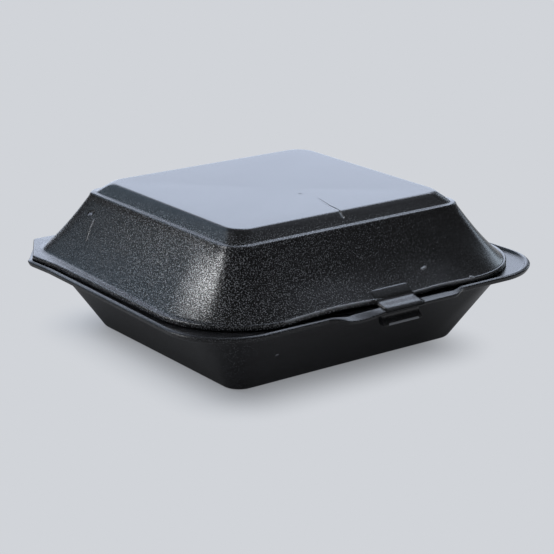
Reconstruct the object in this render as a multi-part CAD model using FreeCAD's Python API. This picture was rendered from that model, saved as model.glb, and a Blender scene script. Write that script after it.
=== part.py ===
import FreeCAD, Part
import math
import os

# A square hinged take-away container, thermoformed from one sheet of black foam.
# Millimetres, +Z up, origin on the floor under the middle of the tray's rim.
# -Y is the front with the latch, +Y is the back with the hinge.

foam = 2.6                      # thickness of the formed foam sheet
clearance = 0.4                 # air between the closed lid and the tray

# Tray
base_width = 148.4
base_front = -57.2
base_back = 76.6
base_radius = 9.0
base_edge_round = 1.5
mouth_width = 204.0             # where the wall meets the ledge
mouth_front = -85.0
mouth_back = 98.0
mouth_front_radius = 28.0
mouth_back_radius = 18.0
rim_width = 232.6               # over the bead
rim_waist_width = 228.4         # a little narrower before the ears
rim_waist_y = 64.0
ear_width = 230.8
ear_y = 83.0
rim_front = -94.0
rim_front_radius = 36.0
rim_top = 43.1                  # crest of the bead
bead_width = 3.0
bead_height = 3.1
bead_round = 1.2
ledge_drop = 1.1                # the ledge lies this far below the crest
ledge_thickness = 2.0

# Hinge: a thin web joins both flanges along the back edge
hinge_y = 113.0
hinge_length = 190.0
web_radius = 1.1
web_gap = 0.3
bead_end_y = 99.0               # the bead runs out before the hinge

# Lid
lid_flange = 2.8
lid_front = -89.8
lid_width = 219.0
lid_ear_width = 222.6
lid_ear_y = 80.0
lid_front_radius = 50.0
foot_front_width = 216.0        # where the lid's wall leaves its flange
foot_back_width = 205.0
foot_front = -89.0
foot_back = 101.0
foot_front_radius = 48.0
foot_back_radius = 20.0
shoulder_width = 148.2
shoulder_front = -56.9
shoulder_back = 82.0
shoulder_radius = 9.0
shoulder_ledge = 2.4            # the wall starts this far outside the top's band
shoulder_round = 1.6
top_width = 136.4
top_front = -50.7
top_back = 75.5
top_radius = 10.3
top_height = 82.7
top_step = 5.8                  # the flat top stands this far above the shoulder
top_round = 3.0
wall_sag = 1.8                  # the lid's wall is hollow by this much halfway up

# Latch: the tongue of the lid drops into a slot of the tray's tab
latch_x = 3.0
tab_width = 88.0
tab_reach = 5.2                 # beyond the rim's front edge
tab_side_run = 8.0
tab_round = 7.0
slot_width = 26.0
slot_depth = 5.4                # front to back
slot_wall = 2.5                 # foam left in front of the slot
tongue_width = 23.0
tongue_thickness = 2.2
tongue_ramp_height = 5.5        # above the lid's flange where the ramp starts
tongue_drop = 9.4               # below the lid's flange
lip_height = 2.4

ledge_top = rim_top - ledge_drop
ledge_bottom = ledge_top - ledge_thickness
flange_bottom = ledge_top + clearance
flange_top = flange_bottom + lid_flange
hinge_z = ledge_top + clearance / 2
shoulder_height = top_height - top_step


def rounded_outline(corners, radii, z):
    """Closed wire through the corners, each rounded with an arc."""
    count = len(corners)
    points = [FreeCAD.Vector(x, y, z) for x, y in corners]
    starts, middles, ends = [], [], []
    for i in range(count):
        corner = points[i]
        before = (points[i - 1] - corner).normalize()
        after = (points[(i + 1) % count] - corner).normalize()
        half = before.getAngle(after) / 2
        run = radii[i] / math.tan(half)
        bisector = (before + after).normalize()
        starts.append(corner + before * run)
        ends.append(corner + after * run)
        middles.append(corner + bisector * (radii[i] / math.sin(half) - radii[i]))
    edges = []
    for i in range(count):
        edges.append(Part.Arc(starts[i], middles[i], ends[i]).toShape())
        edges.append(Part.LineSegment(ends[i], starts[(i + 1) % count]).toShape())
    return Part.Wire(edges)


def four_sided(front_width, back_width, front, back, front_radius, back_radius, z):
    corners = [(-front_width / 2, front), (front_width / 2, front),
               (back_width / 2, back), (-back_width / 2, back)]
    return rounded_outline(corners, [front_radius, front_radius, back_radius, back_radius], z)


def slab(wire, height):
    return Part.Face(wire).extrude(FreeCAD.Vector(0, 0, height))


def prism_along_x(profile, width, x_middle):
    """Solid from a closed (y, z) profile, width wide and centred on x_middle."""
    points = [FreeCAD.Vector(x_middle - width / 2, y, z) for y, z in profile]
    return Part.Face(Part.makePolygon(points + points[:1])).extrude(FreeCAD.Vector(width, 0, 0))


def hinge_rod(radius, length):
    """Round bar on the hinge line."""
    return Part.makeCylinder(radius, length, FreeCAD.Vector(-length / 2, hinge_y, hinge_z),
                             FreeCAD.Vector(1, 0, 0))


def edges_at(shape, z, tolerance=0.01):
    """The edges of a shape that lie in the level plane at z."""
    found = []
    for edge in shape.Edges:
        box = edge.BoundBox
        if abs(box.ZMin - z) < tolerance and abs(box.ZMax - z) < tolerance:
            found.append(edge)
    return found


def tray_bowl(inset, floor, top):
    """Tapered bowl of the tray, drawn in by inset, from floor up to top."""
    slope = ledge_top

    def level(z):
        t = z / slope
        return four_sided(
            base_width + (mouth_width - base_width) * t - 2 * inset,
            base_width + (mouth_width - base_width) * t - 2 * inset,
            base_front + (mouth_front - base_front) * t + inset,
            base_back + (mouth_back - base_back) * t - inset,
            max(base_radius + (mouth_front_radius - base_radius) * t - inset, 2.0),
            max(base_radius + (mouth_back_radius - base_radius) * t - inset, 2.0), z)

    return Part.makeLoft([level(floor), level(top)], True, True)


def rim_outline(z, inset):
    """Outer edge of the tray's rim with its tab and ears, drawn in by inset."""
    tab_left, tab_right = latch_x - tab_width / 2, latch_x + tab_width / 2
    tab_front = rim_front - tab_reach
    side, waist, ear = rim_width / 2, rim_waist_width / 2, ear_width / 2
    corners = [(-side, rim_front), (tab_left, rim_front), (tab_left + tab_side_run, tab_front),
               (tab_right - tab_side_run, tab_front), (tab_right, rim_front), (side, rim_front),
               (waist, rim_waist_y), (ear, ear_y), (hinge_length / 2, hinge_y),
               (-hinge_length / 2, hinge_y), (-ear, ear_y), (-waist, rim_waist_y)]
    radii = [rim_front_radius, tab_round, tab_round, tab_round, tab_round, rim_front_radius,
             30.0, 8.0, 1.0, 1.0, 8.0, 30.0]
    wire = rounded_outline(corners, radii, z)
    if inset:
        wire = wire.makeOffset2D(-inset)
    return wire


def make_tray():
    outer = tray_bowl(0, 0, ledge_top)
    outer = outer.makeFillet(base_edge_round, edges_at(outer, 0))
    steep = math.hypot(ledge_top, (mouth_width - base_width) / 2) / ledge_top
    inner = tray_bowl(foam * steep, foam, ledge_top + 1)
    ledge = slab(rim_outline(ledge_bottom, 0), ledge_thickness)
    behind = Part.makeBox(400, 100, 100, FreeCAD.Vector(-200, hinge_y - web_radius / 2, 0))
    bead = slab(rim_outline(rim_top - bead_height, 0), bead_height)
    bead = bead.cut(slab(rim_outline(rim_top - bead_height - 1, bead_width), bead_height + 2))
    bead = bead.makeFillet(bead_round, edges_at(bead, rim_top))
    bead = bead.cut(Part.makeBox(400, 100, 100, FreeCAD.Vector(-200, bead_end_y, 0)))
    tray = outer.fuse(ledge.cut(behind)).fuse(bead).cut(inner)
    slot_front = rim_front - tab_reach + slot_wall
    slot = Part.makeBox(slot_width, slot_depth, 20,
                        FreeCAD.Vector(latch_x - slot_width / 2, slot_front, ledge_bottom - 10))
    seat = hinge_rod(web_radius + web_gap, hinge_length + 20)
    return tray.cut(slot).cut(seat).removeSplitter()


def lid_wall(inset, drop, bottom):
    """Hollow-sided pyramid of the lid, drawn in by inset and lowered by drop."""
    def level(t, z, sag):
        def mix(foot, shoulder):
            return foot + (shoulder - foot) * t
        return four_sided(
            mix(foot_front_width, shoulder_width + 2 * shoulder_ledge) - 2 * (inset + sag),
            mix(foot_back_width, shoulder_width + 2 * shoulder_ledge) - 2 * (inset + sag),
            mix(foot_front, shoulder_front - shoulder_ledge) + inset + sag,
            mix(foot_back, shoulder_back + shoulder_ledge) - inset - sag,
            mix(foot_front_radius, shoulder_radius + shoulder_ledge) - inset / 2,
            mix(foot_back_radius, shoulder_radius + shoulder_ledge) - inset / 2, z)

    height = shoulder_height - flange_top
    return Part.makeLoft([level(0, bottom, 0),
                          level(0.5, flange_top + height / 2 - drop / 2, wall_sag),
                          level(1, shoulder_height - drop, 0)], True, False)


def lid_top(inset, drop):
    low = four_sided(shoulder_width - 2 * inset, shoulder_width - 2 * inset,
                     shoulder_front + inset, shoulder_back - inset,
                     shoulder_radius - inset / 2, shoulder_radius - inset / 2,
                     shoulder_height - drop)
    high = four_sided(top_width - 2 * inset, top_width - 2 * inset,
                      top_front + inset, top_back - inset,
                      top_radius - inset / 2, top_radius - inset / 2, top_height - drop)
    return Part.makeLoft([low, high], True, True)


def lid_flange_outline(z):
    side, ear = lid_width / 2, lid_ear_width / 2
    corners = [(-side, lid_front), (side, lid_front), (side, lid_ear_y - 20), (ear, lid_ear_y),
               (hinge_length / 2 - 3, hinge_y - web_gap), (-hinge_length / 2 + 3, hinge_y - web_gap),
               (-ear, lid_ear_y), (-side, lid_ear_y - 20)]
    return rounded_outline(corners, [lid_front_radius, lid_front_radius, 25.0, 6.0, 1.0, 1.0,
                                     6.0, 25.0], z)


def make_tongue():
    slot_front = rim_front - tab_reach + slot_wall
    lip_front = slot_front + clearance
    face = lip_front + 1.9
    back = face + tongue_thickness
    foot = flange_bottom - tongue_drop
    ramp_top = foot_front + tongue_ramp_height * 1.3
    return prism_along_x([
        (ramp_top, flange_top + tongue_ramp_height), (lid_front, flange_top + 0.2),
        (face, rim_top), (face, foot + lip_height + 0.8), (lip_front, foot + lip_height),
        (lip_front, foot + 0.8), (face + 0.8, foot), (back - 0.6, foot + 0.6),
        (back, foot + 2), (back, flange_bottom), (ramp_top, flange_bottom)],
        tongue_width, latch_x)


def make_lid():
    outer = lid_wall(0, 0, flange_top).fuse(lid_top(0, 0)).removeSplitter()
    outer = outer.makeFillet(top_round, edges_at(outer, top_height))
    outer = outer.makeFillet(shoulder_round, edges_at(outer, shoulder_height))
    seat = hinge_rod(web_radius + web_gap, hinge_length + 20)
    flange = slab(lid_flange_outline(flange_bottom), lid_flange).cut(seat)
    wall_inset = foam * 1.35
    inner = lid_wall(wall_inset, foam * 0.6, flange_bottom - 1).fuse(lid_top(foam * 0.7, foam))
    tongue = make_tongue()
    return outer.fuse(flange).fuse(tongue).cut(inner).removeSplitter()


def make_hinge_web():
    return hinge_rod(web_radius, hinge_length - 8)


os.makedirs("parts", exist_ok=True)
for name, shape in (("tray", make_tray()), ("lid", make_lid()), ("hinge_web", make_hinge_web())):
    if not shape.isValid() or len(shape.Solids) != 1:
        raise ValueError(name + " is not one valid solid")
    shape.Solids[0].exportStep("parts/" + name + ".step")
    print(name, round(shape.Volume / 1000, 1), "cm3")
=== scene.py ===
import math

import bpy
import numpy as np
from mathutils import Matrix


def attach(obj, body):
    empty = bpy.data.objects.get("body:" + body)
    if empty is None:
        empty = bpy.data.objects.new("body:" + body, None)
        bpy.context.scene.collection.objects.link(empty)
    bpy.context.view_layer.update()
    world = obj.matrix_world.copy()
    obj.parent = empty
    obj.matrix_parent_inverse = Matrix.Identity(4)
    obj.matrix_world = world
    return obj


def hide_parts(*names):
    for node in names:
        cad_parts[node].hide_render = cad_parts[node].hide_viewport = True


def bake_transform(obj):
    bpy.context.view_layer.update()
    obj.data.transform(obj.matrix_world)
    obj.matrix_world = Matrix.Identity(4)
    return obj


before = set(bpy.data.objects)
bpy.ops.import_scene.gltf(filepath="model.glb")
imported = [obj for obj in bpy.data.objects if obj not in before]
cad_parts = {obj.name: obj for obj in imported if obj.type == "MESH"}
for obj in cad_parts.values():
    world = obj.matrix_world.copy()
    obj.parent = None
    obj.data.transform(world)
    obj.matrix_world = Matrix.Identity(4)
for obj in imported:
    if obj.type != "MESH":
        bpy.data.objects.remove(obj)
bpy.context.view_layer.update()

# All lengths below are in millimetres and are turned into metres as meshes are made.
mm = 0.001
middle = np.array([0.0, 8.0])

print("stage: outlines")

# Every ring of a shell is an outline read at the same angles round the middle.
ringValues = {
    "angleCount": 660,
    "fineCorners": [(-95, 113), (95, 113), (-41, -94), (-33, -99.2), (-9.7, -99.2),
                    (15.7, -99.2), (39, -99.2), (47, -94)],
    "fineHalfWidth": 0.012, "fineCount": 5, "arcSteps": 24, "lineSteps": 60,
}
evenAngles = np.linspace(-math.pi, math.pi, ringValues["angleCount"], endpoint=False)
fineAngles = [math.atan2(y - middle[1], x - middle[0])
              + np.linspace(-1, 1, ringValues["fineCount"]) * ringValues["fineHalfWidth"]
              for x, y in ringValues["fineCorners"]]
angles = np.unique(np.round(np.concatenate([evenAngles] + fineAngles), 5))


# Points of a closed outline whose corners are arcs tangent to both sides.
def roundedPath(corners, radii):
    corners = np.array(corners, float)
    radii = np.array(radii, float)[:, None]
    before = np.roll(corners, 1, axis=0) - corners
    after = np.roll(corners, -1, axis=0) - corners
    before /= np.linalg.norm(before, axis=1, keepdims=True)
    after /= np.linalg.norm(after, axis=1, keepdims=True)
    half = np.arccos(np.clip((before * after).sum(1), -1, 1))[:, None] / 2
    bisector = before + after
    bisector /= np.linalg.norm(bisector, axis=1, keepdims=True)
    centre = corners + bisector * radii / np.sin(half)
    run = radii / np.tan(half)
    first = corners + before * run - centre
    last = corners + after * run - centre
    start = np.arctan2(first[:, 1], first[:, 0])
    sweep = np.arctan2(last[:, 1], last[:, 0]) - start
    sweep = (sweep + math.pi) % (2 * math.pi) - math.pi
    turn = start[:, None] + sweep[:, None] * np.linspace(0, 1, ringValues["arcSteps"])
    arcs = centre[:, None] + radii[:, None] * np.stack([np.cos(turn), np.sin(turn)], -1)
    nextStart = np.roll(arcs[:, 0], -1, axis=0)
    blend = np.linspace(0, 1, ringValues["lineSteps"])[1:-1, None]
    lines = arcs[:, -1][:, None] * (1 - blend) + nextStart[:, None] * blend
    return np.concatenate([arcs, lines], axis=1).reshape(-1, 2)


# Distance from the middle to the outline at every angle.
def reach(path):
    offset = path - middle
    around = np.arctan2(offset[:, 1], offset[:, 0])
    order = np.argsort(around)
    distance = np.hypot(offset[:, 0], offset[:, 1])
    return np.interp(angles, around[order], distance[order], period=2 * math.pi)


# Outline of a four-sided tapered piece with its front and back corners rounded.
def fourSided(frontWidth, backWidth, front, back, frontRadius, backRadius):
    corners = [(-frontWidth / 2, front), (frontWidth / 2, front),
               (backWidth / 2, back), (-backWidth / 2, back)]
    return reach(roundedPath(corners, [frontRadius, frontRadius, backRadius, backRadius]))


# One ring: x and y from the radius at each angle, z from the height.
def ringPoints(radius, height):
    radius = np.broadcast_to(radius, angles.shape)
    height = np.broadcast_to(height, angles.shape)
    return np.stack([middle[0] + radius * np.cos(angles),
                     middle[1] + radius * np.sin(angles), height], -1)


# Rings along a profile. Each station is (ring, cut, steps), and a station with a cut
# becomes a quadratic arc that starts and ends that far from its corner.
def softRings(stations):
    rings = []
    for i, (ring, cut, steps) in enumerate(stations):
        if cut == 0 or i in (0, len(stations) - 1):
            rings.append(ring)
            continue
        towardsLast = stations[i - 1][0] - ring
        towardsNext = stations[i + 1][0] - ring
        lastLength = np.linalg.norm(towardsLast, axis=1, keepdims=True) + 1e-9
        nextLength = np.linalg.norm(towardsNext, axis=1, keepdims=True) + 1e-9
        # A cut never takes more than 0.46 of a side, so that arcs can't overlap.
        a = ring + towardsLast / lastLength * np.minimum(cut, 0.46 * lastLength)
        b = ring + towardsNext / nextLength * np.minimum(cut, 0.46 * nextLength)
        for s in np.linspace(0, 1, steps):
            rings.append((1 - s) ** 2 * a + 2 * s * (1 - s) * ring + s ** 2 * b)
    return np.array(rings)


# 0 below low, 1 above high, and 3 t^2 - 2 t^3 between them.
def smoothStep(x, low, high):
    t = np.clip((x - low) / (high - low), 0, 1)
    return t * t * (3 - 2 * t)


# A smooth hill of height 1: the square of 1 - t^2, zero beyond its half width.
def bump(x, centre, halfWidth):
    t = np.clip(1 - ((x - centre) / halfWidth) ** 2, 0, 1)
    return t * t


# Mesh of a grid of rings that closes round the loop, with its ends capped.
def gridMesh(name, rings):
    count, around = rings.shape[:2]
    index = np.arange(count * around).reshape(count, around)
    right = np.roll(index, -1, axis=1)
    faces = np.stack([index[:-1], index[1:], right[1:], right[:-1]], -1).reshape(-1, 4)
    mesh = bpy.data.meshes.new(name)
    faceList = faces.tolist() + [index[0].tolist(), index[-1][::-1].tolist()]
    mesh.from_pydata((rings.reshape(-1, 3) * mm).tolist(), [], faceList)
    mesh.validate()
    mesh.polygons.foreach_set("use_smooth", np.ones(len(mesh.polygons), bool))
    piece = bpy.data.objects.new(name, mesh)
    bpy.context.scene.collection.objects.link(piece)
    return piece


# Flat rings from the middle out to an outline, with the middle dipped by the square of
# 1 - share^2. Each is a station without an arc.
def flatStations(outline, height, shares, dip=0.0):
    return [(ringPoints(outline * share, height - dip * (1 - share ** 2) ** 2), 0, 1)
            for share in shares]


print("stage: lid")

# Outlines are front width, back width, front, back, front radius and back radius.
lidValues = {
    "topHeight": 82.7, "shoulderHeight": 76.9, "flangeTop": 45.2, "flangeBottom": 42.4,
    "foam": 2.6, "foamLevel": 1.3, "topDip": 0.5, "centreHole": 0.4, "wallStart": 0.4,
    "top": (136.4, 136.4, -50.7, 75.5, 10.3, 10.3),
    "crease": (148.2, 148.2, -56.9, 82.0, 9.0, 8.0),
    "ledge": (152.6, 152.6, -59.1, 84.2, 11.2, 9.2),
    "foot": (216.0, 205.0, -89.0, 101.0, 48.0, 17.5),
    "flangeCorners": [(-109.5, -89.8), (109.5, -89.8), (109.5, 60), (111.7, 83.3),
                      (95, 112.7), (-95, 112.7), (-111.7, 83.3), (-109.5, 60)],
    "flangeRadii": [50, 50, 25, 4, 1.2, 1.2, 4, 25],
    "ledgeOut": 0.5, "ledgeDrop": 0.15, "innerLipRise": 1.5,
    # A round is how far its arc starts from the corner, and its number of rings.
    "topRound": (3.0, 8), "creaseRound": (0.8, 5), "ledgeRound": (1.1, 6), "footRound": (2.8, 6),
    "edgeRound": (1.4, 7), "underEdgeRound": (0.8, 4), "innerFootRound": (1.2, 4),
    "innerLedgeRound": (1.5, 4), "innerCreaseRound": (1.0, 3), "innerTopRound": (2.0, 5),
    # Shares of the foam's thickness: the ledge's inside is lower, the step's inside narrower.
    "innerDrop": 0.6, "innerInset": 0.7,
    "outerShares": (0.12, 0.3, 0.5, 0.68, 0.82, 0.92, 0.965), "innerShares": (0.9, 0.6, 0.3),
    "wallRings": 14, "hollowGrowth": (0.7, 0.6),
    "wallHollow": 2.2, "hollowFade": (0.1, 1.3), "cornerFade": (0.35, 0.62), "cornerShare": 0.35,
    "lipLift": 1.9, "lipLiftX": -36.0, "lipLiftHalfWidth": 44.0,
    "rightLift": 0.7, "rightLiftX": 34.0, "rightLiftHalfWidth": 26.0,
    "liftFrom": (55, 84), "liftUpTo": (44, 60),
}
top, crease, ledge, foot = [fourSided(*lidValues[name])
                            for name in ("top", "crease", "ledge", "foot")]
flangeEdge = reach(roundedPath(lidValues["flangeCorners"], lidValues["flangeRadii"]))


# Wall rings from the ledge down to the foot: a straight blend of the two outlines,
# drawn in by 4 t (1 - t) times a slope that deepens it lower down. The hollow fades out
# towards the hinge and is shallower in the right front corner.
def lidWall(inset, drop):
    v = lidValues
    low = v["flangeTop"] if drop == 0 else v["flangeBottom"] + v["innerLipRise"]
    high = v["shoulderHeight"] - v["wallStart"] - drop
    rightCorner = (smoothStep(np.cos(angles), *v["cornerFade"])
                   * smoothStep(-np.sin(angles), *v["cornerFade"]))
    hollowShare = ((1 - smoothStep(np.sin(angles), *v["hollowFade"]))
                   * (1 - v["cornerShare"] * rightCorner))
    atTop, growth = v["hollowGrowth"]
    rings = []
    for t in np.linspace(0, 1, v["wallRings"] + 2)[1:-1]:
        hollow = v["wallHollow"] * 4 * t * (1 - t) * (atTop + growth * t) * hollowShare
        rings.append(ringPoints(ledge + (foot - ledge) * t - hollow - inset,
                                high + (low - high) * t))
    return rings


# One closed profile carried round the middle: over the top, down the step and the wall,
# round the flange, and back up inside at the foam's thickness.
def buildLid():
    v = lidValues
    foam, hole = v["foam"], v["centreHole"]
    inset = foam * v["foamLevel"]    # the sloped wall's thickness, measured level
    stations = [(ringPoints(hole, v["topHeight"] - v["topDip"]), 0, 1)]
    drop, stepInset = foam * v["innerDrop"], foam * v["innerInset"]
    stations += flatStations(top, v["topHeight"], v["outerShares"], v["topDip"])
    stations += [(ringPoints(top, v["topHeight"]), *v["topRound"]),
                 (ringPoints(crease, v["shoulderHeight"]), *v["creaseRound"]),
                 (ringPoints(ledge + v["ledgeOut"], v["shoulderHeight"] - v["ledgeDrop"]),
                  *v["ledgeRound"])]
    stations += [(ring, 0, 1) for ring in lidWall(0, 0)]
    stations += [(ringPoints(foot, v["flangeTop"]), *v["footRound"]),
                 (ringPoints(flangeEdge, v["flangeTop"]), *v["edgeRound"]),
                 (ringPoints(flangeEdge, v["flangeBottom"]), *v["underEdgeRound"]),
                 (ringPoints(foot - inset, v["flangeBottom"]), *v["innerFootRound"])]
    stations += [(ring, 0, 1) for ring in lidWall(inset, drop)[::-1]]
    stations += [(ringPoints(ledge - inset, v["shoulderHeight"] - v["wallStart"] - drop),
                  *v["innerLedgeRound"]),
                 (ringPoints(crease - stepInset, v["shoulderHeight"] - foam),
                  *v["innerCreaseRound"]),
                 (ringPoints(top - stepInset, v["topHeight"] - foam), *v["innerTopRound"])]
    stations += flatStations(top, v["topHeight"] - foam, v["innerShares"], v["topDip"])
    stations.append((ringPoints(hole, v["topHeight"] - foam - v["topDip"]), 0, 1))
    rings = softRings(stations)
    # The front lip bows up in two hills, which fade out up the wall.
    x, y, z = rings[..., 0], rings[..., 1], rings[..., 2]
    nearLip = smoothStep(-y, *v["liftFrom"]) * (1 - smoothStep(z, *v["liftUpTo"]))
    lift = (v["lipLift"] * bump(x, v["lipLiftX"], v["lipLiftHalfWidth"])
            + v["rightLift"] * bump(x, v["rightLiftX"], v["rightLiftHalfWidth"]))
    rings[..., 2] += lift * nearLip
    return gridMesh("lidShell", rings)


lidShell = buildLid()

print("stage: tray")

trayValues = {
    "foam": 2.6, "foamLevel": 1.2, "centreHole": 0.4,
    "rimTop": 43.1, "ledgeTop": 42.0, "ledgeBottom": 40.0,
    "base": (148.4, 148.4, -57.2, 76.6, 9.0, 9.0),
    "mouth": (204.0, 204.0, -85.0, 98.0, 28.0, 18.0),
    "rimCorners": [(-116.3, -94.0), (-41, -94.0), (-33, -99.2), (39, -99.2), (47, -94.0),
                   (116.3, -94.0), (114.2, 64), (115.4, 83), (95, 112.6), (-95, 112.6),
                   (-115.4, 83), (-114.2, 64)],
    "rimRadii": [36, 7, 7, 7, 7, 36, 30, 8, 1.2, 1.2, 8, 30],
    # A round is how far its arc starts from the corner, and its number of rings.
    "floorRound": (4.0, 7), "mouthRound": (3.0, 6), "beadFootRound": (1.4, 5),
    "beadRound": (0.6, 4), "rimRound": (0.9, 6), "underRimRound": (0.7, 4),
    "underLedgeRound": (1.6, 5), "baseRound": (1.8, 6),
    "floorShares": (0.3, 0.6, 0.85), "baseShares": (0.85, 0.5, 0.2), "wallRings": 10,
    "beadWidth": 3.3, "beadFlank": 0.6, "beadFootDrop": 0.35, "beadRise": 0.15,
    "beadEndY": (84.0, 92.0), "beadTilt": 0.6, "underRimIn": 1.3,
    "tabLeft": (-40.0, -28.0), "tabRight": (34.0, 46.0), "tabLip": 5.6, "tabSlope": 1.1,
    "notchLeft": (-9.9, -9.2), "notchRight": (15.2, 15.9), "notchDrop": 0.7,
    "tabSag": 1.3, "tabSagX": -24.0, "tabSagHalfWidth": 18.0, "tabSagFrom": (92.5, 98),
    "slotX": 3.0, "slotWidth": 26.0, "slotFront": -96.7, "slotDepth": 5.4,
    "slotLow": 30.0, "slotHeight": 20.0,
}
base = fourSided(*trayValues["base"])
mouth = fourSided(*trayValues["mouth"])
rim = reach(roundedPath(trayValues["rimCorners"], trayValues["rimRadii"]))


# Wall rings between base and mouth, a straight blend of the two outlines.
def trayWall(inset, low, high):
    steps = np.linspace(0, 1, trayValues["wallRings"] + 2)[1:-1]
    heights = [low + (high - low) * t for t in steps]
    return [(ringPoints(base + (mouth - base) * height / trayValues["ledgeTop"] - inset, height),
             0, 1) for height in heights]


# One closed profile carried round the middle: over the inside of the floor, up the wall,
# over the ledge and the bead, and back down outside to the base.
def buildTray():
    v = trayValues
    foam, hole = v["foam"], v["centreHole"]
    inset = foam * v["foamLevel"]    # the sloped wall's thickness, measured level
    # The bead's height fades out towards the hinge.
    rimX = middle[0] + rim * np.cos(angles)
    rimY = middle[1] + rim * np.sin(angles)
    crest = v["ledgeTop"] + (v["rimTop"] - v["ledgeTop"]) * (1 - smoothStep(rimY, *v["beadEndY"]))
    # In the tab the bead widens to a lip that slopes down to its edge.
    inTab = smoothStep(rimX, *v["tabLeft"]) * (1 - smoothStep(rimX, *v["tabRight"])) * (rimY < 0)
    beadWidth = v["beadWidth"] + (v["tabLip"] - v["beadWidth"]) * inTab
    # Behind the tab's edge the tongue lies in a shallow notch.
    inNotch = (smoothStep(rimX, *v["notchLeft"]) * (1 - smoothStep(rimX, *v["notchRight"]))
               * (rimY < 0))
    crest = crest - v["notchDrop"] * inNotch
    edgeTop = crest - v["beadTilt"] - (v["tabSlope"] - v["beadTilt"]) * inTab
    innerFloor = base + (mouth - base) * foam / v["ledgeTop"] - inset
    stations = [(ringPoints(hole, foam), 0, 1)]
    stations += flatStations(innerFloor, foam, v["floorShares"])
    stations.append((ringPoints(innerFloor, foam), *v["floorRound"]))
    stations += trayWall(inset, foam, v["ledgeTop"])
    stations += [(ringPoints(mouth - inset, v["ledgeTop"]), *v["mouthRound"]),
                 (ringPoints(rim - beadWidth - v["beadFlank"], v["ledgeTop"] - v["beadFootDrop"]),
                  *v["beadFootRound"]),
                 (ringPoints(rim - beadWidth + v["beadFlank"], crest + v["beadRise"]),
                  *v["beadRound"]),
                 (ringPoints(rim, edgeTop), *v["rimRound"]),
                 (ringPoints(rim - v["underRimIn"], v["ledgeBottom"]), *v["underRimRound"]),
                 (ringPoints(mouth, v["ledgeBottom"]), *v["underLedgeRound"])]
    stations += trayWall(0, 0, v["ledgeBottom"])[::-1]
    stations.append((ringPoints(base, 0), *v["baseRound"]))
    stations += flatStations(base, 0, v["baseShares"])
    stations.append((ringPoints(hole, 0), 0, 1))
    rings = softRings(stations)
    # The left part of the tab hangs a little.
    x, y, z = rings[..., 0], rings[..., 1], rings[..., 2]
    hang = v["tabSag"] * bump(x, v["tabSagX"], v["tabSagHalfWidth"]) * smoothStep(
        -y, *v["tabSagFrom"])
    rings[..., 2] -= hang * (z > v["slotLow"])
    tray = gridMesh("trayShell", rings)
    cutSlot(tray)
    return tray


# Cuts the latch slot as a plain box, with the cutter removed afterwards.
def cutSlot(tray):
    v = trayValues
    low = np.array([v["slotX"] - v["slotWidth"] / 2, v["slotFront"], v["slotLow"]])
    size = np.array([v["slotWidth"], v["slotDepth"], v["slotHeight"]])
    unit = np.array([[x, y, z] for x in (0, 1) for y in (0, 1) for z in (0, 1)])
    faces = [(0, 1, 3, 2), (4, 6, 7, 5), (0, 4, 5, 1), (2, 3, 7, 6), (0, 2, 6, 4), (1, 5, 7, 3)]
    mesh = bpy.data.meshes.new("slotCutter")
    mesh.from_pydata(((low + unit * size) * mm).tolist(), [], faces)
    cutter = bpy.data.objects.new("slotCutter", mesh)
    bpy.context.scene.collection.objects.link(cutter)
    modifier = tray.modifiers.new("slot", "BOOLEAN")
    modifier.operation = "DIFFERENCE"
    modifier.solver = "EXACT"
    modifier.object = cutter
    bpy.context.view_layer.update()
    evaluated = tray.evaluated_get(bpy.context.evaluated_depsgraph_get())
    cut = bpy.data.meshes.new_from_object(evaluated)
    tray.modifiers.clear()
    old = tray.data
    tray.data = cut
    bpy.data.meshes.remove(old)
    bpy.data.objects.remove(cutter)
    cut.name = "trayShell"
    print("tray faces", len(cut.polygons))


trayShell = buildTray()

print("stage: latch tongue")

tongueValues = {
    "x": 3.0, "width": 24.7, "sideRound": 1.2, "sideDrawIn": 0.5, "flankReach": 2.6,
    "flankSink": (2.08, -2.432), "flankFrom": (-91, -88),
    "pointsPerSide": 4, "smoothPasses": 3, "endSteps": 5, "midSteps": 14, "endGap": 3,
    # Closed (y, z) profile: down the pad on the lid, out over the slot, down to the hook
    # with its toe, and back up inside.
    "profile": [(-83.4, 49.0), (-84.8, 49.4), (-88.8, 46.4), (-90.2, 44.7), (-92.4, 44.1),
                (-95.2, 43.7), (-97.4, 43.1), (-98.9, 42.0), (-98.5, 41.6), (-97.0, 41.6),
                (-96.2, 41.5), (-95.2, 40.8), (-94.6, 39.5), (-94.5, 37.2), (-95.6, 36.0),
                (-97.6, 34.3), (-97.7, 33.7), (-96.9, 33.2), (-95.2, 33.0), (-93.6, 33.1),
                (-92.6, 33.7), (-92.2, 35.0), (-92.2, 39.0), (-92.0, 41.4), (-91.0, 42.4),
                (-88.0, 43.2), (-84.0, 44.0), (-82.0, 46.0)],
}


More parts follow.
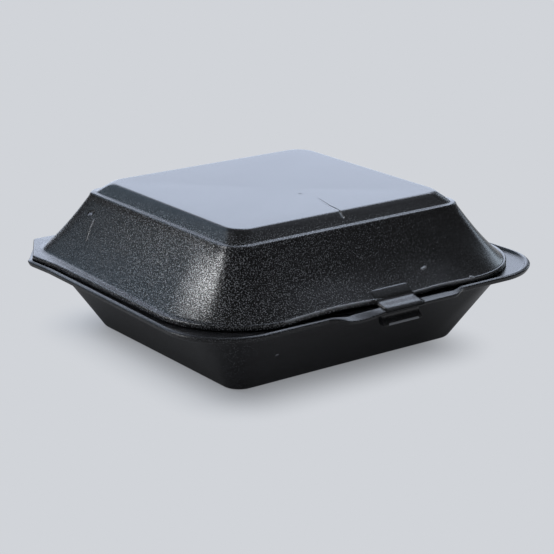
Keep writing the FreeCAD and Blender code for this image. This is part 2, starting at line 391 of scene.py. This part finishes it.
# The profile carried along X, drawn in at both ends by a quarter circle.
def buildTongue():
    v = tongueValues
    profile = np.array(v["profile"])
    # Several points to each side of the profile, smoothed by averaging with both neighbours.
    fine = np.linspace(0, len(profile), v["pointsPerSide"] * len(profile), endpoint=False)
    keys = np.arange(len(profile) + 1)
    closed = np.vstack([profile, profile[:1]])
    loop = np.stack([np.interp(fine, keys, closed[:, 0]), np.interp(fine, keys, closed[:, 1])], -1)
    for step in range(v["smoothPasses"]):
        loop = 0.5 * loop + 0.25 * (np.roll(loop, 1, axis=0) + np.roll(loop, -1, axis=0))
    inward = loop.mean(0) - loop
    inward /= np.linalg.norm(inward, axis=1, keepdims=True)
    turn = np.linspace(0, math.pi / 2, v["endSteps"])
    drawIn = v["sideRound"] * (1 - np.sin(turn)) * v["sideDrawIn"]
    along = v["sideRound"] * (1 - np.cos(turn))
    half = v["width"] / 2
    gap = v["endGap"]
    between = np.linspace(-half, half, v["midSteps"] + 2 * gap)[gap:-gap]
    xs = np.concatenate([-half + along, between, half - along[::-1]])
    pull = np.concatenate([drawIn, np.zeros(v["midSteps"]), drawIn[::-1]])
    rings = np.empty((len(xs), len(loop), 3))
    rings[..., 0] = v["x"] + xs[:, None]
    rings[..., 1:] = loop[None] + inward[None] * pull[:, None, None]
    # On the lid's wall the end rings spread out and sink, so that the pad has flanks.
    onPad = smoothStep(loop[:, 0], *v["flankFrom"])
    for end, side in ((0, -1), (-1, 1)):
        rings[end, :, 0] += side * v["flankReach"] * onPad
        rings[end, :, 1] += v["flankSink"][0] * onPad
        rings[end, :, 2] += v["flankSink"][1] * onPad
    return gridMesh("latchTongue", rings[::-1])


latchTongue = buildTongue()

print("stage: hinge web")

webValues = {"halfLength": 92.5, "lineY": 112.6, "innerY": 111.6, "low": 40.6, "high": 44.2,
             "reachOut": 1.3, "thickness": 0.9, "arcSteps": 17, "lengthSteps": 41}


# A thin folded strip: a half ellipse round the hinge line, carried along X.
def buildWeb():
    v = webValues
    turn = np.linspace(-math.pi / 2, math.pi / 2, v["arcSteps"])
    rise = (v["high"] - v["low"]) / 2
    zMiddle = (v["high"] + v["low"]) / 2
    outer, inner = [np.stack([v["lineY"] + (v["reachOut"] - cut) * np.cos(turn),
                              zMiddle + (rise - cut) * np.sin(turn)], -1)
                    for cut in (0, v["thickness"])]
    loop = np.concatenate([[(v["innerY"], v["low"])], outer, [(v["innerY"], v["high"])],
                           [(v["innerY"], v["high"] - v["thickness"])], inner[::-1],
                           [(v["innerY"], v["low"] + v["thickness"])]])
    xs = np.linspace(-v["halfLength"], v["halfLength"], v["lengthSteps"])
    rings = np.empty((len(xs), len(loop), 3))
    rings[..., 0] = xs[:, None]
    rings[..., 1:] = loop
    return gridMesh("hingeStrip", rings[::-1])


hingeStrip = buildWeb()

print("stage: materials")

# The black foam's skin. Sizes are in metres, strengths have no unit.
foamValues = {
    "colour": (0.0034, 0.0035, 0.0040, 1), "paleColour": (0.092, 0.096, 0.106, 1),
    "roughness": 0.26, "roughnessWave": 0.02,
    "pebbleSize": 0.00060, "pebbleDepth": 0.00013, "sparkle": 4.5, "leastShine": 0.05,
    "paleFrom": 0.52, "paleGain": 4.5,
    # How much of the pebbling is left, and where it fades along that axis.
    "topPebble": 0.25, "topFade": (0.0765, 0.0820),
    "rightPebble": 0.22, "rightFade": (-0.085, 0.055),
    "backPebble": 0.5, "backFade": (0.0, 0.085),
    "grainSize": 0.0004, "grainDepth": 0.00006,
    "waveSize": 0.024, "waveDepth": 0.00004,
}


# An empty node material with its output.
def newMaterial(name):
    material = bpy.data.materials.new(name)
    material.use_nodes = True
    tree = material.node_tree
    tree.nodes.clear()
    output = tree.nodes.new("ShaderNodeOutputMaterial")
    return material, tree, output


# One maths node. Numbers are set on its sockets, and outputs of other nodes are linked.
def mathNode(tree, operation, first, second=None, clamp=False):
    node = tree.nodes.new("ShaderNodeMath")
    node.operation = operation
    node.use_clamp = clamp
    for socket, value in zip(node.inputs, (first, second)):
        if value is None:
            continue
        if isinstance(value, (int, float)):
            socket.default_value = value
        else:
            tree.links.new(value, socket)
    return node.outputs[0]


# Maps the input from one range to another, with soft ends where smooth is set.
def rangeNode(tree, value, fromRange, toRange, smooth=False):
    node = tree.nodes.new("ShaderNodeMapRange")
    if smooth:
        node.interpolation_type = "SMOOTHSTEP"
    for name, number in zip(("From Min", "From Max", "To Min", "To Max"), fromRange + toRange):
        node.inputs[name].default_value = number
    tree.links.new(value, node.inputs["Value"])
    return node.outputs["Result"]


# Noise from 0 to 1 whose features are about as long as size.
def noiseAt(tree, position, size, detail, roughness=0.5):
    node = tree.nodes.new("ShaderNodeTexNoise")
    node.inputs["Scale"].default_value = 1 / size
    node.inputs["Detail"].default_value = detail
    node.inputs["Roughness"].default_value = roughness
    tree.links.new(position, node.inputs["Vector"])
    return node.outputs["Fac"]


# 1 on the line from start to end, falling to 0 at half width from it. The distance is
# taken to the nearest point of the line, clamped to its ends.
def lineMask(tree, position, start, end, halfWidth):
    start, end = np.array(start, float), np.array(end, float)
    along = end - start
    length = float(np.linalg.norm(along))
    subtract = tree.nodes.new("ShaderNodeVectorMath")
    subtract.operation = "SUBTRACT"
    tree.links.new(position, subtract.inputs[0])
    subtract.inputs[1].default_value = start
    dot = tree.nodes.new("ShaderNodeVectorMath")
    dot.operation = "DOT_PRODUCT"
    tree.links.new(subtract.outputs[0], dot.inputs[0])
    dot.inputs[1].default_value = along / length ** 2
    share = mathNode(tree, "MULTIPLY", dot.outputs["Value"], 1.0, clamp=True)
    scale = tree.nodes.new("ShaderNodeVectorMath")
    scale.operation = "SCALE"
    scale.inputs[0].default_value = along
    tree.links.new(share, scale.inputs["Scale"])
    distance = tree.nodes.new("ShaderNodeVectorMath")
    distance.operation = "DISTANCE"
    tree.links.new(subtract.outputs[0], distance.inputs[0])
    tree.links.new(scale.outputs[0], distance.inputs[1])
    fraction = mathNode(tree, "DIVIDE", distance.outputs["Value"], halfWidth)
    return mathNode(tree, "SUBTRACT", 1.0, fraction, clamp=True)


# Satin black foam: pebbles and grain as bump, a slow wave, and small marks, some of which
# are lines of painted highlight. Each mark is (start, end, half width, depth, paleness) in metres.
def foamMaterial(name, pebble, specular, marksAndHighlights=()):
    v = foamValues
    material, tree, output = newMaterial(name)
    shader = tree.nodes.new("ShaderNodeBsdfPrincipled")
    tree.links.new(shader.outputs[0], output.inputs["Surface"])
    position = tree.nodes.new("ShaderNodeTexCoord").outputs["Object"]
    pebbles = noiseAt(tree, position, v["pebbleSize"], 1.0, 0.4)
    # The skin is smoother on the top, towards the right end and towards the hinge.
    parts = tree.nodes.new("ShaderNodeSeparateXYZ")
    tree.links.new(position, parts.inputs[0])
    strength = rangeNode(tree, parts.outputs["Z"], v["topFade"], (pebble, pebble * v["topPebble"]))
    for axis, fade, share in (("X", v["rightFade"], v["rightPebble"]),
                              ("Y", v["backFade"], v["backPebble"])):
        strength = mathNode(tree, "MULTIPLY", strength,
                            rangeNode(tree, parts.outputs[axis], fade, (1.0, share)))
    grain = noiseAt(tree, position, v["grainSize"], 0.0)
    wave = noiseAt(tree, position, v["waveSize"], 1.0)
    height = mathNode(tree, "ADD", mathNode(tree, "MULTIPLY", pebbles, v["pebbleDepth"]),
                      mathNode(tree, "MULTIPLY", grain, v["grainDepth"]))
    height = mathNode(tree, "MULTIPLY", height, strength)
    height = mathNode(tree, "ADD", height, mathNode(tree, "MULTIPLY", wave, v["waveDepth"]))
    pale = mathNode(tree, "MULTIPLY", mathNode(tree, "SUBTRACT", pebbles, v["paleFrom"]),
                    v["paleGain"])
    pale = mathNode(tree, "MULTIPLY", pale, strength, clamp=True)
    # A mark lifts or sinks the surface and adds its paleness, which on the highlight lines is
    # painted highlight.
    for start, end, halfWidth, depth, paleness in marksAndHighlights:
        mask = lineMask(tree, position, start, end, halfWidth)
        height = mathNode(tree, "ADD", height, mathNode(tree, "MULTIPLY", mask, depth))
        pale = mathNode(tree, "ADD", pale, mathNode(tree, "MULTIPLY", mask, paleness))
    mix = tree.nodes.new("ShaderNodeMix")
    mix.data_type = "RGBA"
    tree.links.new(mathNode(tree, "MULTIPLY", pale, 1.0, clamp=True), mix.inputs["Factor"])
    mix.inputs["A"].default_value = v["colour"]
    mix.inputs["B"].default_value = v["paleColour"]
    tree.links.new(mix.outputs["Result"], shader.inputs["Base Color"])
    shade = mathNode(tree, "ADD", v["roughness"],
                     mathNode(tree, "MULTIPLY", mathNode(tree, "SUBTRACT", wave, 0.5),
                              v["roughnessWave"]))
    tree.links.new(shade, shader.inputs["Roughness"])
    # Some pebbles shine more than others: the shine rises with the pebble's height.
    shine = mathNode(tree, "MULTIPLY", mathNode(tree, "SUBTRACT", pebbles, 0.5), v["sparkle"])
    shine = mathNode(tree, "MULTIPLY", mathNode(tree, "MULTIPLY", shine, strength), specular)
    shine = mathNode(tree, "MAXIMUM", mathNode(tree, "ADD", shine, specular), v["leastShine"])
    tree.links.new(shine, shader.inputs["Specular IOR Level"])
    bumpNode = tree.nodes.new("ShaderNodeBump")
    bumpNode.inputs["Strength"].default_value = 1.0
    bumpNode.inputs["Distance"].default_value = 1.0
    tree.links.new(height, bumpNode.inputs["Height"])
    tree.links.new(bumpNode.outputs[0], shader.inputs["Normal"])
    return material


# Marks seen in the photograph, in metres: a crack over the step, a pit in the top, a dent
# with a crease on the left wall, two nicks in front and a chip in the lip.
lidMarksAndHighlights = [    # start, end, half width, depth, paleness
    ((0.0041, -0.0246, 0.0825), (-0.0003, -0.0398, 0.0826), 0.0007, -0.0004, 0.0),
    ((-0.0003, -0.0398, 0.0826), (-0.0024, -0.0510, 0.0822), 0.0009, -0.0012, 0.0),
    ((-0.0024, -0.0510, 0.0822), (-0.0024, -0.0535, 0.0801), 0.0010, -0.0014, 1.2),
    ((0.0025, -0.0097, 0.0823), (0.0029, -0.0097, 0.0823), 0.0011, -0.0009, 0.0),
    ((-0.0824, 0.0694, 0.0679), (-0.0819, 0.0668, 0.0686), 0.0017, -0.0030, 0.0),
    ((-0.0844, 0.0619, 0.0653), (-0.0870, 0.0609, 0.0620), 0.0013, 0.0012, 1.4),
    ((-0.0870, 0.0609, 0.0620), (-0.0916, 0.0577, 0.0568), 0.0011, 0.0008, 0.8),
    ((0.0293, -0.0804, 0.0527), (0.0319, -0.0799, 0.0532), 0.0010, 0.0007, 3.0),
    ((0.0560, -0.0889, 0.0455), (0.0572, -0.0889, 0.0455), 0.0010, 0.0007, 3.0),
    ((-0.0434, -0.0894, 0.0470), (-0.0424, -0.0894, 0.0470), 0.0012, -0.0012, 3.0),
]
trayMarks = [((-0.0580, -0.0711, 0.0211), (-0.0576, -0.0711, 0.0211), 0.0009, 0.0005, 3.0)]

# The front edge of the lid's lip has a painted highlight on both sides of the latch: pale lines,
# slightly raised and rough.
lipHighlight = [[(-0.0660, -0.0894, 0.0454), (-0.0510, -0.0897, 0.0465), (-0.0360, -0.0896, 0.04695),
            (-0.0130, -0.0897, 0.0461)],
           [(0.0165, -0.0897, 0.0452), (0.0300, -0.0897, 0.0455), (0.0580, -0.0896, 0.0450)]]
for line in lipHighlight:
    lidMarksAndHighlights += [(start, end, 0.0007, 0.0002, 2.5) for start, end in zip(line[:-1], line[1:])]
# A painted highlight runs along the edge of the hook's toe.
tongueHighlight = [((-0.0060, -0.0977, 0.0341), (0.0125, -0.0977, 0.0341), 0.0009, 0.0, 3.0)]

lidFoam = foamMaterial("lidFoam", 1.0, 0.6, lidMarksAndHighlights)
trayFoam = foamMaterial("trayFoam", 0.35, 0.4, trayMarks)
tongueFoam = foamMaterial("tongueFoam", 0.35, 0.5, tongueHighlight)

for piece, material in ((lidShell, lidFoam), (trayShell, trayFoam), (latchTongue, tongueFoam),
                        (hingeStrip, trayFoam)):
    piece.data.materials.clear()
    piece.data.materials.append(material)

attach(lidShell, "cover")
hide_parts("lid")
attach(latchTongue, "cover")
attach(trayShell, "base")
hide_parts("tray")
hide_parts("hinge_web")
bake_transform(hingeStrip)

print("stage: camera, floor and light")

# Solved from the photograph: a level camera turned to the front left of the box.
cameraValues = {"place": (-544.2, -735.2, 323.4), "turn": -36.22, "down": 17.60,
                "lens": 112.94, "filmWidth": 36, "farLimit": 100}
camera = bpy.data.objects.new("camera", bpy.data.cameras.new("camera"))
bpy.context.scene.collection.objects.link(camera)
camera.data.sensor_width = cameraValues["filmWidth"]
camera.data.lens = cameraValues["lens"]
camera.data.clip_end = cameraValues["farLimit"]
camera.location = [c * mm for c in cameraValues["place"]]
camera.rotation_euler = (math.radians(90 - cameraValues["down"]), 0,
                         math.radians(cameraValues["turn"]))
bpy.context.scene.camera = camera

sceneValues = {
    "backgroundColour": (0.638, 0.658, 0.694, 1), "floorColour": (0.40, 0.42, 0.455, 1),
    "footHalf": (0.056, 0.063), "footMiddle": (-0.012, 0.009),
    "floorHalf": 6.0, "floorLift": -0.0002, "floorFadeEnd": 0.050, "floorGlow": 0.30,
    "floorGlossy": (0.18, 0.90), "floorGlossyEnd": 0.17,
    "ambient": (0.95, 0.97, 1.0, 1), "ambientStrength": 0.9, "glossyStrength": 0.08,
}


# A wide square. Near the object it is matt and takes the shadow. Further out it fades to
# one flat colour by the distance from the base's footprint.
def buildFloor():
    v = sceneValues
    mesh = bpy.data.meshes.new("floor")
    mesh.from_pydata([(x * v["floorHalf"], y * v["floorHalf"], v["floorLift"])
                      for x, y in ((-1, -1), (1, -1), (1, 1), (-1, 1))], [], [(0, 1, 2, 3)])
    floor = bpy.data.objects.new("floor", mesh)
    bpy.context.scene.collection.objects.link(floor)
    material, tree, output = newMaterial("floorMatt")
    matt = tree.nodes.new("ShaderNodeBsdfDiffuse")
    matt.inputs["Color"].default_value = v["floorColour"]
    flat = tree.nodes.new("ShaderNodeEmission")
    flat.inputs["Color"].default_value = v["backgroundColour"]
    parts = tree.nodes.new("ShaderNodeSeparateXYZ")
    tree.links.new(tree.nodes.new("ShaderNodeTexCoord").outputs["Object"], parts.inputs[0])
    # Distance outside a rectangle: the length of what |x| and |y| have beyond it.
    squares = []
    for axis, centre, halfSide in zip("XY", v["footMiddle"], v["footHalf"]):
        fromCentre = mathNode(tree, "ABSOLUTE",
                              mathNode(tree, "SUBTRACT", parts.outputs[axis], centre))
        beyond = mathNode(tree, "MAXIMUM", mathNode(tree, "SUBTRACT", fromCentre, halfSide), 0.0)
        squares.append(mathNode(tree, "MULTIPLY", beyond, beyond))
    distance = mathNode(tree, "SQRT", mathNode(tree, "ADD", *squares))
    fade = rangeNode(tree, distance, (0.0, v["floorFadeEnd"]), (v["floorGlow"], 1.0), smooth=True)
    mix = tree.nodes.new("ShaderNodeMixShader")
    tree.links.new(fade, mix.inputs["Fac"])
    tree.links.new(matt.outputs[0], mix.inputs[1])
    tree.links.new(flat.outputs[0], mix.inputs[2])
    # Reflections on the box see the floor close to it dimmer than the camera does.
    dark = tree.nodes.new("ShaderNodeEmission")
    dark.inputs["Strength"].default_value = 0.0
    seen = tree.nodes.new("ShaderNodeMixShader")
    glossyRay = tree.nodes.new("ShaderNodeLightPath").outputs["Is Glossy Ray"]
    hidden = rangeNode(tree, distance, (0.0, v["floorGlossyEnd"]),
                       (1 - v["floorGlossy"][0], 1 - v["floorGlossy"][1]), smooth=True)
    tree.links.new(mathNode(tree, "MULTIPLY", glossyRay, hidden), seen.inputs["Fac"])
    tree.links.new(mix.outputs[0], seen.inputs[1])
    tree.links.new(dark.outputs[0], seen.inputs[2])
    tree.links.new(seen.outputs[0], output.inputs["Surface"])
    floor.data.materials.append(material)
    return floor


buildFloor()


# An area light at a place, facing a target.
def softLight(name, place, target, width, height, power, colour):
    light = bpy.data.lights.new(name, "AREA")
    light.shape = "RECTANGLE"
    light.size, light.size_y = width, height
    light.energy = power
    light.color = colour
    lamp = bpy.data.objects.new(name, light)
    bpy.context.scene.collection.objects.link(lamp)
    direction = np.array(target, float) - np.array(place, float)
    direction /= np.linalg.norm(direction)
    lamp.location = place
    lamp.rotation_euler = (math.acos(-direction[2]), 0,
                           math.atan2(direction[1], direction[0]) - math.pi / 2)


# Name, place, target, width and height in metres, power in watts, and colour. The skies
# light the top and the left walls, and the others edge the front and the right rim.
lightValues = [
    ("backSky", (0.85, 1.38, 0.52), (0, 0, 0.06), 1.5, 1.1, 13, (0.72, 0.81, 1.0)),
    ("highSky", (0.85, 0.58, 1.02), (0, -0.08, 0.05), 0.7, 0.34, 3.4, (0.74, 0.83, 1.0)),
    ("frontRight", (0.85, -0.15, 1.20), (0, -0.08, 0.05), 0.5, 0.4, 0.3, (0.78, 0.86, 1.0)),
    ("rightGlow", (1.40, 0.42, 0.44), (0.08, -0.03, 0.06), 0.45, 0.34, 1.3, (0.72, 0.85, 1.0)),
    ("leftSky", (-0.86, 0.60, 0.98), (0, 0, 0.03), 0.16, 0.62, 11.4, (0.96, 0.98, 1.0)),
    ("backLeft", (-0.35, 1.40, 1.10), (0, 0, 0.04), 1.0, 0.8, 1.7, (0.50, 0.74, 1.0)),
]
for row in lightValues:
    softLight(*row)

world = bpy.data.worlds.new("world")
world.use_nodes = True
bpy.context.scene.world = world
worldTree = world.node_tree
worldTree.nodes.clear()
worldOutput = worldTree.nodes.new("ShaderNodeOutputWorld")
worldLight = worldTree.nodes.new("ShaderNodeBackground")
worldLight.inputs["Color"].default_value = sceneValues["ambient"]
# Glossy rays see a dimmer room than the light that reaches the floor.
glossy = worldTree.nodes.new("ShaderNodeLightPath").outputs["Is Glossy Ray"]
dimming = sceneValues["glossyStrength"] - sceneValues["ambientStrength"]
strength = mathNode(worldTree, "ADD", mathNode(worldTree, "MULTIPLY", glossy, dimming),
                    sceneValues["ambientStrength"])
worldTree.links.new(strength, worldLight.inputs["Strength"])
worldTree.links.new(worldLight.outputs[0], worldOutput.inputs["Surface"])
bpy.context.scene.view_settings.view_transform = "Standard"
